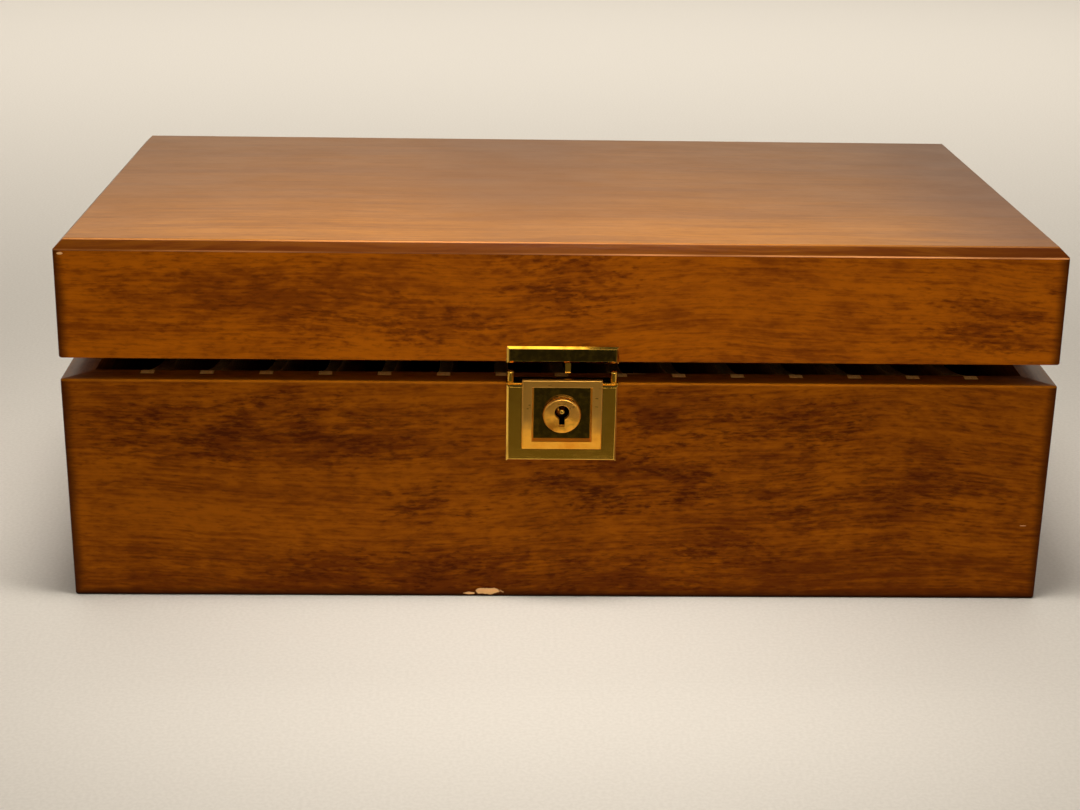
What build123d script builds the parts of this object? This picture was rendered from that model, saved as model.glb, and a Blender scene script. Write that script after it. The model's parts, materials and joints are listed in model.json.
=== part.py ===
from build123d import *
import os
from math import atan2, degrees, radians, tan

# A lockable collector's box: a mitred hardwood base with fifteen dividers, a hinged lid that rests
# slightly ajar, and a brass box lock. Millimetres, +Z up, front towards -Y, and the origin at the
# centre of the underside.

# Driving dimensions of the box
BOX_WIDTH = 300.0
BOX_DEPTH = 168.0
BASE_HEIGHT = 71.0
LID_HEIGHT = 36.0
WALL = 9.0
SEAM_GAP = 0.3  # hairline left between the rim and the closed lid
LID_REST_ANGLE = 2.2  # degrees that the lid stands open at rest
CORNER_RADIUS = 1.2  # upright corners
ARRIS_RADIUS = 0.6  # every other outer arris
LID_CHAMFER = 3.0

# Panels, linings and dividers
RABBET_WIDTH = 4.5
BOTTOM_PANEL = 4.0
BASE_FELT = 1.2
LINING = 1.2
GLUE_GAP = 0.15
DIVIDER_COUNT = 15
DIVIDER = 4.1
DADO_DEPTH = 3.0
SCOOP_DEPTH = 14.0
SCOOP_LENGTH = 150.0
TOP_LIP = 3.2
TOP_TONGUE = 5.0

# Hinges
HINGE_X = 105.0
HINGE_INSET = 2.6  # from the back face to the pin's axis
STOP_ANGLE = 95.0  # the bevelled back edges meet here
KNUCKLE_COUNT = 5
KNUCKLE_LENGTH = 6.2
KNUCKLE_GAP = 0.25
KNUCKLE_RADIUS = 1.9
KNUCKLE_CLEARANCE = 0.35
PIN_RADIUS = 1.0
PIN_CLEARANCE = 0.05
LEAF = 1.0
LEAF_REACH = 5.8  # from the pin's axis to the leaf's far edge

# Lock, with heights counted from the rim and depths from the front face
PLATE_WIDTH = 33.6
PLATE_DROP = 0.35
PLATE_HEIGHT = 24.6
PLATE = 1.2
PLATE_BEVEL = 0.7
BEZEL_WIDTH = 24.1
BEZEL_HEIGHT = 22.3
BEZEL_RISE = 1.9
BEZEL = 1.6
BEZEL_STEP = 0.3
BEZEL_OPENING = (17.0, 16.2)
BEZEL_INNER_BEVEL = 0.6
BOSS_RADIUS = 5.75
BOSS = 1.8
BOSS_Z = -9.5
KEYHOLE_RADIUS = 2.2
KEYHOLE_Z = -8.5
KEY_SLOT = (1.6, 4.4)
DRILL_PIN_RADIUS = 0.8
TOP_PLATE = 1.0
CASE_WIDTH = 25.0
CASE_DEPTH = 5.3
CASE_FLOOR_Z = -22.0
CASE_SHEET = 0.7
GUIDE_PIN_RADIUS = 1.15
GUIDE_PIN_X = 15.55
GUIDE_PIN_DEPTH = 1.6
GUIDE_PIN_RISE = 3.6
GUIDE_PIN_ROOT = 4.0

# Strike, hook and bolt
STRIKE_HEIGHT = 5.2
STRIKE_OVERHANG = 0.2
HOOK_X = 1.7
HOOK = 1.7
HOOK_DEPTHS = (1.5, 4.2)
HOOK_DROP = 4.4
EYE_DEPTHS = (2.1, 3.6)
EYE_HEIGHTS = (-3.5, -1.9)
BOLT_DEPTHS = (2.3, 3.4)
BOLT_BAR = (-6.1, -4.4)
BOLT_SHOULDER_TOP = -2.1
BOLT_POSTS = (-7.0, 3.6)
BOLT_POST_RADIUS = 0.5
BOLT_POST_GAP = 0.3
HOOK_CLEARANCE = 0.4

# Values worked out from the ones above
HALF_WIDTH = BOX_WIDTH / 2
HALF_DEPTH = BOX_DEPTH / 2
INNER_WIDTH = BOX_WIDTH - 2 * WALL
INNER_DEPTH = BOX_DEPTH - 2 * WALL
FRONT_Y = -HALF_DEPTH
RIM_Z = BASE_HEIGHT
LID_Z = RIM_Z + SEAM_GAP
TOP_Z = LID_Z + LID_HEIGHT
HINGE_Y = HALF_DEPTH - HINGE_INSET
HINGE_Z = RIM_Z + SEAM_GAP / 2
PANEL_TOP_Z = BASE_FELT + BOTTOM_PANEL
FLOOR_Z = PANEL_TOP_Z + LINING
COMPARTMENT = (INNER_WIDTH - DIVIDER_COUNT * DIVIDER) / (DIVIDER_COUNT + 1)
DIVIDER_PITCH = COMPARTMENT + DIVIDER
HINGE_LENGTH = KNUCKLE_COUNT * KNUCKLE_LENGTH + (KNUCKLE_COUNT - 1) * KNUCKLE_GAP
BARREL_ROOM = KNUCKLE_RADIUS + KNUCKLE_CLEARANCE


def block(x_range, y_range, z_range):
    """A rectangular solid between two values on each axis."""
    low = [min(pair) for pair in (x_range, y_range, z_range)]
    high = [max(pair) for pair in (x_range, y_range, z_range)]
    centre = [(a + b) / 2 for a, b in zip(low, high)]
    size = [b - a for a, b in zip(low, high)]
    return Pos(*centre) * Box(*size)


def rod_x(radius, x_range, y, z):
    """A cylinder along X."""
    length = x_range[1] - x_range[0]
    return Pos(sum(x_range) / 2, y, z) * Rot(0, 90, 0) * Cylinder(radius, length)


def rod_y(radius, y_range, x, z):
    """A cylinder along Y."""
    length = abs(y_range[1] - y_range[0])
    return Pos(x, sum(y_range) / 2, z) * Rot(90, 0, 0) * Cylinder(radius, length)


def rod_z(radius, z_range, x, y):
    """An upright cylinder."""
    length = z_range[1] - z_range[0]
    return Pos(x, y, sum(z_range) / 2) * Cylinder(radius, length)


def save(name, *solids):
    """Write one node; several solids become one group."""
    shape = solids[0] if len(solids) == 1 else Compound(children=list(solids))
    export_step(shape, f"parts/{name}.step")


def screw(head_radius, shank_radius, length, grow=0.0):
    """A countersunk wood screw that points down from z = 0; grow makes its hole."""
    head = head_radius + grow
    shank = shank_radius + grow
    profile = [
        (0, grow),
        (head, grow),
        (head, -0.15),
        (shank, -0.15 - (head - shank)),
        (shank, -length + 1.2),
        (0.3, -length - grow),
        (0, -length - grow),
    ]
    outline = make_face(Polyline(*[(x, 0, z) for x, z in profile], close=True))
    body = revolve(outline, axis=Axis.Z)
    if grow:
        return body
    slot = block((-head_radius, head_radius), (-0.2, 0.2), (-0.35, 1))
    return body - slot


def flipped(shape, x, y, z):
    """A downward screw turned to point up from a place."""
    return Pos(x, y, z) * Rot(180, 0, 0) * shape


# ---- wooden walls -----------------------------------------------------------------------------


def wall_ring(z_range):
    """Four walls as one ring with softened outer arrises, before the mitres divide it."""
    outer = block((-HALF_WIDTH, HALF_WIDTH), (-HALF_DEPTH, HALF_DEPTH), z_range)
    outer = fillet(outer.edges().filter_by(Axis.Z), CORNER_RADIUS)
    ends = outer.faces().sort_by(Axis.Z)
    outer = fillet(ends[0].edges() + ends[-1].edges(), ARRIS_RADIUS)
    hollow = block(
        (-INNER_WIDTH / 2, INNER_WIDTH / 2),
        (-INNER_DEPTH / 2, INNER_DEPTH / 2),
        (z_range[0] - 1, z_range[1] + 1),
    )
    return outer - hollow


def mitre_wedge(side):
    """The upright prism that holds one wall of a ring, bounded by its two 45 degree mitres."""
    out = 5.0
    deep = WALL + out
    if side in ("front", "back"):
        sign = -1 if side == "front" else 1
        points = [
            (-HALF_WIDTH - out, sign * (HALF_DEPTH + out)),
            (HALF_WIDTH + out, sign * (HALF_DEPTH + out)),
            (HALF_WIDTH - deep, sign * (HALF_DEPTH - deep)),
            (-HALF_WIDTH + deep, sign * (HALF_DEPTH - deep)),
        ]
    else:
        sign = -1 if side == "left" else 1
        points = [
            (sign * (HALF_WIDTH + out), -HALF_DEPTH - out),
            (sign * (HALF_WIDTH + out), HALF_DEPTH + out),
            (sign * (HALF_WIDTH - deep), HALF_DEPTH - deep),
            (sign * (HALF_WIDTH - deep), -HALF_DEPTH + deep),
        ]
    outline = make_face(Polyline(*points, close=True))
    return Pos(0, 0, -1) * extrude(outline, amount=TOP_Z + 2, dir=(0, 0, 1))


def back_bevel(sign):
    """The wedge cut from the back edge; sign is -1 for the base and 1 for the lid.

    Both bevels pass through the hinge axis, so they meet and stop the lid at STOP_ANGLE.
    """
    run = HINGE_INSET + 3
    drop = run * tan(radians(STOP_ANGLE / 2))
    points = [
        (0, HINGE_Y, HINGE_Z),
        (0, HINGE_Y + run, HINGE_Z),
        (0, HINGE_Y + run, HINGE_Z + sign * drop),
    ]
    outline = make_face(Polyline(*points, close=True))
    return Pos(-HALF_WIDTH - 1, 0, 0) * extrude(outline, amount=BOX_WIDTH + 2, dir=(1, 0, 0))


def hinge_gains(sign):
    """The pockets for both hinges; sign is -1 for the base and 1 for the lid."""
    half = HINGE_LENGTH / 2 + 1.1
    face_z = HINGE_Z + sign * SEAM_GAP / 2
    open_z = HINGE_Z - sign
    leaf_y = (HINGE_Y - LEAF_REACH - 0.1, HINGE_Y - BARREL_ROOM + 0.3)
    barrel_y = (HINGE_Y - BARREL_ROOM, HALF_DEPTH + 1)
    cuts = []
    for x in (-HINGE_X, HINGE_X):
        span = (x - half, x + half)
        cuts.append(block(span, leaf_y, (open_z, face_z + sign * LEAF)))
        cuts.append(block(span, barrel_y, (open_z, HINGE_Z + sign * BARREL_ROOM)))
    return cuts


def divider_places():
    """The centre of each divider, from left to right."""
    first = -INNER_WIDTH / 2 + COMPARTMENT + DIVIDER / 2
    return [first + index * DIVIDER_PITCH for index in range(DIVIDER_COUNT)]


def base_walls():
    """The four base walls with their rabbet, dados, hinge gains and lock mortise."""
    ring = wall_ring((0, RIM_Z))
    ring -= block(
        (-INNER_WIDTH / 2 - RABBET_WIDTH, INNER_WIDTH / 2 + RABBET_WIDTH),
        (-INNER_DEPTH / 2 - RABBET_WIDTH, INNER_DEPTH / 2 + RABBET_WIDTH),
        (-1, PANEL_TOP_Z),
    )
    ring -= back_bevel(-1)
    walls = {side: ring & mitre_wedge(side) for side in ("front", "back", "left", "right")}
    half_dado = DIVIDER / 2 + 0.1
    reach = INNER_DEPTH / 2 + DADO_DEPTH
    for x in divider_places():
        dado = block((x - half_dado, x + half_dado), (-reach, reach), (PANEL_TOP_Z, RIM_Z + 1))
        walls["front"] -= dado
        walls["back"] -= dado
    for cut in hinge_gains(-1) + hinge_screws(-1, grow=0.05):
        walls["back"] -= cut
    for cut in lock_mortise():
        walls["front"] -= cut
    return walls


def lid_rails():
    """The four lid rails with their hinge gains and strike recess."""
    ring = wall_ring((LID_Z, TOP_Z - TOP_LIP + ARRIS_RADIUS))
    ring &= block((-200, 200), (-200, 200), (LID_Z, TOP_Z - TOP_LIP))
    ring -= back_bevel(1)
    rails = {side: ring & mitre_wedge(side) for side in ("front", "back", "left", "right")}
    for cut in hinge_gains(1) + hinge_screws(1, grow=0.05):
        rails["back"] -= cut
    for cut in strike_recess():
        rails["front"] -= cut
    return rails


# ---- panels, linings and dividers ---------------------------------------------------------------


def sheet(width, depth, z_range):
    """A flat sheet centred on the box."""
    return block((-width / 2, width / 2), (-depth / 2, depth / 2), z_range)


def lid_top_panel():
    """The lid's top: a chamfered lip on the rails and a thicker tongue between them."""
    outline = sheet(BOX_WIDTH, BOX_DEPTH, (TOP_Z - TOP_LIP, TOP_Z))
    lip = chamfer(outline.faces().sort_by(Axis.Z)[-1].edges(), LID_CHAMFER)
    lip &= fillet(outline.edges().filter_by(Axis.Z), CORNER_RADIUS)
    tongue = sheet(
        INNER_WIDTH - 2 * GLUE_GAP,
        INNER_DEPTH - 2 * GLUE_GAP,
        (TOP_Z - TOP_LIP - TOP_TONGUE, TOP_Z - TOP_LIP),
    )
    return lip + tongue


def divider(x):
    """One divider board, flush with the rim at both walls, scooped between, and let under a hinge."""
    half = INNER_DEPTH / 2 + DADO_DEPTH - GLUE_GAP
    board = block((x - DIVIDER / 2, x + DIVIDER / 2), (-half, half), (FLOOR_Z, RIM_Z))
    radius = (SCOOP_LENGTH / 2) ** 2 / (2 * SCOOP_DEPTH) + SCOOP_DEPTH / 2
    board -= rod_x(radius, (x - DIVIDER, x + DIVIDER), 0, RIM_Z - SCOOP_DEPTH + radius)
    for gain in hinge_gains(-1):
        board -= gain
    return board


# ---- hinges ---------------------------------------------------------------------------------------


def hinge_leaf(x, sign):
    """One leaf with its knuckles; sign is -1 for the base and 1 for the lid."""
    face_z = HINGE_Z + sign * SEAM_GAP / 2
    leaf_z = (face_z, face_z + sign * LEAF)
    start = x - HINGE_LENGTH / 2
    leaf = block(
        (start, start + HINGE_LENGTH),
        (HINGE_Y - LEAF_REACH, HINGE_Y - BARREL_ROOM),
        leaf_z,
    )
    own = range(0, KNUCKLE_COUNT, 2) if sign < 0 else range(1, KNUCKLE_COUNT, 2)
    for index in own:
        low = start + index * (KNUCKLE_LENGTH + KNUCKLE_GAP)
        span = (low, low + KNUCKLE_LENGTH)
        leaf += block(span, (HINGE_Y - LEAF_REACH, HINGE_Y), leaf_z)
        leaf += rod_x(KNUCKLE_RADIUS, span, HINGE_Y, HINGE_Z)
    bore_span = (start - 1, start + HINGE_LENGTH + 1)
    leaf -= rod_x(PIN_RADIUS + PIN_CLEARANCE, bore_span, HINGE_Y, HINGE_Z)
    for cut in hinge_screws(sign, grow=0.05):
        leaf -= cut
    return leaf


def hinge_screws(sign, grow=0.0):
    """The four screws of the base leaves or of the lid leaves, or their holes."""
    shapes = []
    y = HINGE_Y - LEAF_REACH + 1.8
    z = HINGE_Z + sign * SEAM_GAP / 2
    for x in (-HINGE_X, HINGE_X):
        for offset in (-9.5, 9.5):
            shape = screw(1.3, 0.8, 9.0, grow)
            if sign < 0:
                shapes.append(Pos(x + offset, y, z) * shape)
            else:
                shapes.append(flipped(shape, x + offset, y, z))
    return shapes


def hinge_pin(x):
    """A pin with a flat head at each end, outside the base leaf's outer knuckles."""
    half = HINGE_LENGTH / 2
    pin = rod_x(PIN_RADIUS, (x - half, x + half), HINGE_Y, HINGE_Z)
    for side in (-1, 1):
        ends = sorted((x + side * half, x + side * (half + 0.7)))
        pin += rod_x(PIN_RADIUS + 0.5, ends, HINGE_Y, HINGE_Z)
    return pin


# ---- lock on the base -----------------------------------------------------------------------------


def lock_mortise():
    """What is cut from the front wall for the lock."""
    back_y = FRONT_Y + CASE_DEPTH + 0.2
    half_case = CASE_WIDTH / 2 + 0.2
    half_plate = PLATE_WIDTH / 2
    cuts = [
        block((-half_case, half_case), (FRONT_Y - 1, back_y), (RIM_Z + CASE_FLOOR_Z - 0.2, RIM_Z + 1)),
        block((-half_plate, half_plate), (FRONT_Y - 1, back_y), (RIM_Z - TOP_PLATE, RIM_Z + 1)),
    ]
    y = FRONT_Y + GUIDE_PIN_DEPTH
    for x in (-GUIDE_PIN_X, GUIDE_PIN_X):
        cuts.append(rod_z(GUIDE_PIN_RADIUS + 0.1, (RIM_Z - GUIDE_PIN_ROOT, RIM_Z), x, y))
    return cuts + lock_screws(grow=0.05)


def keyhole(grow, y_range):
    """The keyhole's outline as a solid along Y: a round hole with a slot below it."""
    centre_z = RIM_Z + KEYHOLE_Z
    half_slot = KEY_SLOT[0] / 2 + grow
    hole = rod_y(KEYHOLE_RADIUS + grow, y_range, 0, centre_z)
    return hole + block((-half_slot, half_slot), y_range, (centre_z - KEY_SLOT[1] - grow, centre_z))


def lock_front_plate():
    """The flat plate on the box's front, bevelled all round."""
    half = PLATE_WIDTH / 2
    top_z = RIM_Z - PLATE_DROP
    plate = block((-half, half), (FRONT_Y - PLATE, FRONT_Y), (top_z - PLATE_HEIGHT, top_z))
    plate = chamfer(plate.faces().sort_by(Axis.Y)[0].edges(), PLATE_BEVEL)
    return plate - keyhole(0.4, (FRONT_Y - PLATE - 1, FRONT_Y + 1))


def lock_bezel():
    """The raised square frame; its top stands above the rim, clear of the strike behind it."""
    back_y = FRONT_Y - PLATE
    front_y = back_y - BEZEL
    half = BEZEL_WIDTH / 2
    top_z = RIM_Z + BEZEL_RISE
    frame = block((-half, half), (front_y, back_y), (top_z - BEZEL_HEIGHT, top_z))
    frame = chamfer(frame.faces().sort_by(Axis.Y)[0].edges(), 0.3)
    centre_z = top_z - BEZEL_HEIGHT / 2
    facing = Plane(origin=(0, back_y, centre_z), x_dir=(1, 0, 0), z_dir=(0, -1, 0))
    slope = degrees(atan2(BEZEL_INNER_BEVEL, BEZEL))
    opening = extrude(facing * Rectangle(*BEZEL_OPENING), amount=BEZEL, taper=-slope)
    step = block((-half - 1, half + 1), (back_y - BEZEL_STEP, back_y + 1), (RIM_Z - PLATE_DROP, top_z + 1))
    return frame - opening - step


def lock_boss():
    """The round boss that surrounds the keyhole."""
    back_y = FRONT_Y - PLATE
    front_y = back_y - BOSS
    boss = rod_y(BOSS_RADIUS, (front_y, back_y), 0, RIM_Z + BOSS_Z)
    boss = chamfer(boss.faces().sort_by(Axis.Y)[0].edges(), 0.5)
    return boss - keyhole(0, (front_y - 1, back_y + 1))


def lock_drill_pin():
    """The fixed post that a hollow key turns on."""
    back_y = FRONT_Y + CASE_DEPTH - CASE_SHEET
    front_y = FRONT_Y - PLATE - BOSS + 0.6
    pin = rod_y(DRILL_PIN_RADIUS, (front_y, back_y), 0, RIM_Z + KEYHOLE_Z)
    return chamfer(pin.faces().sort_by(Axis.Y)[0].edges(), 0.25)


def hook_slot(z_range):
    """The room that the hook needs as it comes down into the lock."""
    half = HOOK / 2 + HOOK_CLEARANCE
    depths = (HOOK_DEPTHS[0] - HOOK_CLEARANCE, HOOK_DEPTHS[1] + HOOK_CLEARANCE)
    return block(
        (HOOK_X - half, HOOK_X + half),
        (FRONT_Y + depths[0], FRONT_Y + depths[1]),
        z_range,
    )


def lock_top_plate():
    """The plate let into the rim, with the hook's slot and the guide pins' holes."""
    half = PLATE_WIDTH / 2 - 0.1
    plate = block((-half, half), (FRONT_Y, FRONT_Y + CASE_DEPTH), (RIM_Z - TOP_PLATE, RIM_Z))
    plate -= hook_slot((RIM_Z - 2, RIM_Z + 1))
    y = FRONT_Y + GUIDE_PIN_DEPTH
    for x in (-GUIDE_PIN_X, GUIDE_PIN_X):
        plate -= rod_z(GUIDE_PIN_RADIUS + 0.05, (RIM_Z - 2, RIM_Z + 1), x, y)
    for hole in lock_screws(grow=0.05):
        plate -= hole
    return plate


def lock_guide_pins():
    """Two domed pins that enter the lid as it closes."""
    pins = []
    for x in (-GUIDE_PIN_X, GUIDE_PIN_X):
        span = (RIM_Z - GUIDE_PIN_ROOT, RIM_Z + GUIDE_PIN_RISE)
        pin = rod_z(GUIDE_PIN_RADIUS, span, x, FRONT_Y + GUIDE_PIN_DEPTH)
        pins.append(fillet(pin.faces().sort_by(Axis.Z)[-1].edges(), 0.8))
    return pins


def lock_case():
    """A pressed tray behind the front plate, open to the front, with two posts for the bolt."""
    half = CASE_WIDTH / 2
    back_y = FRONT_Y + CASE_DEPTH
    low_z = RIM_Z + CASE_FLOOR_Z
    high_z = RIM_Z - TOP_PLATE
    case = block((-half, half), (FRONT_Y, back_y), (low_z, high_z))
    case -= block(
        (-half + CASE_SHEET, half - CASE_SHEET),
        (FRONT_Y - 1, back_y - CASE_SHEET),
        (low_z + CASE_SHEET, high_z - CASE_SHEET),
    )
    case -= hook_slot((high_z - 1, high_z + 1))
    post_z = RIM_Z + BOLT_BAR[0] - BOLT_POST_GAP - BOLT_POST_RADIUS
    for x in BOLT_POSTS:
        case += rod_y(BOLT_POST_RADIUS, (FRONT_Y + 1.2, back_y - CASE_SHEET), x, post_z)
    return case


def bolt_piece(x_range, z_range):
    """One bar of the bolt, in the bolt's own plane, with heights counted from the rim."""
    depths = (FRONT_Y + BOLT_DEPTHS[0], FRONT_Y + BOLT_DEPTHS[1])
    return block(x_range, depths, (RIM_Z + z_range[0], RIM_Z + z_range[1]))


def lock_bolt():
    """The sliding bolt, drawn back: a bar, a shoulder, the finger for the eye, and the key's notch."""
    bolt = bolt_piece((-8.6, 8.0), BOLT_BAR)
    bolt += bolt_piece((-8.6, -2.8), (BOLT_BAR[1], BOLT_SHOULDER_TOP))
    bolt += bolt_piece((-2.8, 0.3), (EYE_HEIGHTS[0] + 0.2, EYE_HEIGHTS[1] - 0.2))
    return bolt - bolt_piece((-1.4, 1.4), (BOLT_BAR[0] - 1, BOLT_BAR[0] + 1.0))


def lock_spring():
    """A bent leaf spring that bears up under the bolt."""
    depth_y = FRONT_Y + BOLT_DEPTHS[0]
    facing = Plane(origin=(0, depth_y, RIM_Z), x_dir=(1, 0, 0), z_dir=(0, -1, 0))
    curve = ThreePointArc((11.6, -9.6), (9.4, -7.4), (5.6, -6.6))
    strip = facing * trace(curve, line_width=0.35)
    return extrude(strip, amount=BOLT_DEPTHS[1] - BOLT_DEPTHS[0], dir=(0, 1, 0))


def lock_screws(grow=0.0):
    """The two screws that hold the lock down into the front wall, or their holes."""
    y = FRONT_Y + 4.0
    return [Pos(x, y, RIM_Z) * screw(1.1, 0.65, 9.0, grow) for x in (-14.2, 14.2)]


# ---- strike on the lid ------------------------------------------------------------------------------


def strike_recess():
    """What is cut from the lid's front rail for the strike."""
    half = PLATE_WIDTH / 2 + 0.1
    cuts = [block((-half, half), (FRONT_Y - 1, FRONT_Y + CASE_DEPTH + 0.1), (LID_Z - 1, LID_Z + LEAF))]
    y = FRONT_Y + GUIDE_PIN_DEPTH
    for x in (-GUIDE_PIN_X, GUIDE_PIN_X):
        cuts.append(rod_z(GUIDE_PIN_RADIUS + 0.35, (LID_Z, LID_Z + 5), x, y))
    return cuts + strike_screws(grow=0.05)


def strike_plate():
    """An angle of brass: a bevelled flange on the lid's front and a flange under its rail."""
    half = PLATE_WIDTH / 2
    low_z = LID_Z - STRIKE_OVERHANG
    front = block((-half, half), (FRONT_Y - PLATE, FRONT_Y), (low_z, low_z + STRIKE_HEIGHT))
    front = chamfer(front.faces().sort_by(Axis.Y)[0].edges(), PLATE_BEVEL)
    under = block((-half, half), (FRONT_Y, FRONT_Y + CASE_DEPTH), (LID_Z, LID_Z + LEAF))
    room = GUIDE_PIN_RADIUS + 0.35
    y = FRONT_Y + GUIDE_PIN_DEPTH
    for side in (-1, 1):
        under -= rod_z(room, (LID_Z - 1, LID_Z + 2), side * GUIDE_PIN_X, y)
        ends = (side * GUIDE_PIN_X, side * (half + 1))
        under -= block(ends, (y - room, y + room), (LID_Z - 1, LID_Z + 2))
    depths = (FRONT_Y + HOOK_DEPTHS[0] - 0.05, FRONT_Y + HOOK_DEPTHS[1] + 0.05)
    half_hook = HOOK / 2 + 0.05
    under -= block((HOOK_X - half_hook, HOOK_X + half_hook), depths, (LID_Z - 1, LID_Z + 2))
    for hole in strike_screws(grow=0.05):
        under -= hole
    return front + under


def strike_hook():
    """The flat hook, set in the strike, with an eye that the bolt enters sideways."""
    half = HOOK / 2
    depths = (FRONT_Y + HOOK_DEPTHS[0], FRONT_Y + HOOK_DEPTHS[1])
    hook = block((HOOK_X - half, HOOK_X + half), depths, (LID_Z - HOOK_DROP, LID_Z + LEAF))
    hook = chamfer(hook.faces().sort_by(Axis.Z)[0].edges().filter_by(Axis.X), 0.45)
    eye_y = (FRONT_Y + EYE_DEPTHS[0], FRONT_Y + EYE_DEPTHS[1])
    eye_z = (RIM_Z + EYE_HEIGHTS[0], RIM_Z + EYE_HEIGHTS[1])
    return hook - block((HOOK_X - 2, HOOK_X + 2), eye_y, eye_z)


def strike_screws(grow=0.0):
    """The two screws that hold the strike up into the lid's rail, or their holes."""
    y = FRONT_Y + CASE_DEPTH / 2
    return [flipped(screw(1.3, 0.8, 9.0, grow), x, y, LID_Z) for x in (-9.0, 9.0)]


# ---- assembly -----------------------------------------------------------------------------------------


def opened(shape):
    """A lid piece, modelled closed, turned up to its rest angle about the hinge axis."""
    axis = Axis((0, HINGE_Y, HINGE_Z), (-1, 0, 0))
    return shape.rotate(axis, LID_REST_ANGLE)


def write_base():
    for side, wall in base_walls().items():
        save(f"base_{side}_wall", wall)
    panel_width = INNER_WIDTH + 2 * RABBET_WIDTH - 2 * GLUE_GAP
    panel_depth = INNER_DEPTH + 2 * RABBET_WIDTH - 2 * GLUE_GAP
    save("base_bottom_panel", sheet(panel_width, panel_depth, (BASE_FELT, PANEL_TOP_Z)))
    save("base_felt", sheet(panel_width, panel_depth, (0, BASE_FELT)))
    lining_width = INNER_WIDTH - 2 * GLUE_GAP
    lining_depth = INNER_DEPTH - 2 * GLUE_GAP
    save("base_lining", sheet(lining_width, lining_depth, (PANEL_TOP_Z, FLOOR_Z)))
    for index, x in enumerate(divider_places(), start=1):
        save(f"divider_{index:02d}", divider(x))


def write_lid():
    for side, rail in lid_rails().items():
        save(f"lid_{side}_rail", opened(rail))
    save("lid_top_panel", opened(lid_top_panel()))
    lining_top = TOP_Z - TOP_LIP - TOP_TONGUE
    lining = sheet(INNER_WIDTH - 1, INNER_DEPTH - 1, (lining_top - LINING, lining_top))
    save("lid_lining", opened(lining))


def write_hinges():
    for name, x in (("left", -HINGE_X), ("right", HINGE_X)):
        save(f"hinge_base_leaf_{name}", hinge_leaf(x, -1))
        save(f"hinge_lid_leaf_{name}", opened(hinge_leaf(x, 1)))
        save(f"hinge_pin_{name}", hinge_pin(x))
    save("hinge_base_screws", *hinge_screws(-1))
    save("hinge_lid_screws", *[opened(shape) for shape in hinge_screws(1)])


def write_lock():
    save("lock_front_plate", lock_front_plate())
    save("lock_bezel", lock_bezel())
    save("lock_boss", lock_boss())
    save("lock_drill_pin", lock_drill_pin())
    save("lock_top_plate", lock_top_plate())
    save("lock_guide_pins", *lock_guide_pins())
    save("lock_case", lock_case())
    save("lock_bolt", lock_bolt())
    save("lock_spring", lock_spring())
    save("lock_screws", *lock_screws())


def write_strike():
    save("strike_plate", opened(strike_plate()))
    save("strike_hook", opened(strike_hook()))
    save("strike_screws", *[opened(shape) for shape in strike_screws()])


os.makedirs("parts", exist_ok=True)
write_base()
write_lid()
write_hinges()
write_lock()
write_strike()
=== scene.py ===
"""Looks of a lockable mahogany collector's box: materials, linings, floor, light and camera."""
import json
import math

import bpy
from mathutils import Matrix, Vector, noise


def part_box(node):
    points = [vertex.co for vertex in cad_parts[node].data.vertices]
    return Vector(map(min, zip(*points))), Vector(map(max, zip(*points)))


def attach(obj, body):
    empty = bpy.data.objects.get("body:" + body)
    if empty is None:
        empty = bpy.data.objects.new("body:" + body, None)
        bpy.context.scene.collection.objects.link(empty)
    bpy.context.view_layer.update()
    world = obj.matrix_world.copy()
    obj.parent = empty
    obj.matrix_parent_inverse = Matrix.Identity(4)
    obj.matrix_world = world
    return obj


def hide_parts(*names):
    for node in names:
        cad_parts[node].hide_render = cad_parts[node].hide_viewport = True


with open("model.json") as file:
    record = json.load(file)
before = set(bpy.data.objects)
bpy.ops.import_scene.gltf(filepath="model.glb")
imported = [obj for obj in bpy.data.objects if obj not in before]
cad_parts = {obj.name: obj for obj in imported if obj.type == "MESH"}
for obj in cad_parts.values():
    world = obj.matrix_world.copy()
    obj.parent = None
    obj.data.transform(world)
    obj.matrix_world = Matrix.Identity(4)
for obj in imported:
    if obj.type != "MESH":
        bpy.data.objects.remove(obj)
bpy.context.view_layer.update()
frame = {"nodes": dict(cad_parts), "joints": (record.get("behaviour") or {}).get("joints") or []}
nodes = frame["nodes"]

MM = 0.001

# Camera, worked out from the box's own corners
CAMERA_PLACE = Vector((-22.87, -646.02, 273.32)) * MM
CAMERA_PITCH = math.radians(20.43)
CAMERA_YAW = math.radians(1.66)
CAMERA_ROLL = math.radians(0.98)
CAMERA_LENS = 66.35
CAMERA_SENSOR = 36.0
CAMERA_NEAR = 0.01

# The box's own places, read from the frame
HINGE = next(joint for joint in frame["joints"] if joint["name"] == "lid_hinge")
AJAR = math.radians(-HINGE["range_deg"][0])
AXIS_POINT = Vector(HINGE["pos_m"])
BASE_LOW, BASE_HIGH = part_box("base_front_wall")
HALF_WIDTH = BASE_HIGH.x
HALF_DEPTH = -BASE_LOW.y
RIM_Z = BASE_HIGH.z
LID_BOTTOM_Z = RIM_Z + 0.3 * MM
LID_HEIGHT = 36.0 * MM
LID_TOP_Z = LID_BOTTOM_Z + LID_HEIGHT
CHAMFER = 3.0 * MM

CLOSE_TURN = Matrix.Rotation(AJAR, 3, "X")
OPEN_TURN = Matrix.Rotation(-AJAR, 3, "X")


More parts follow.
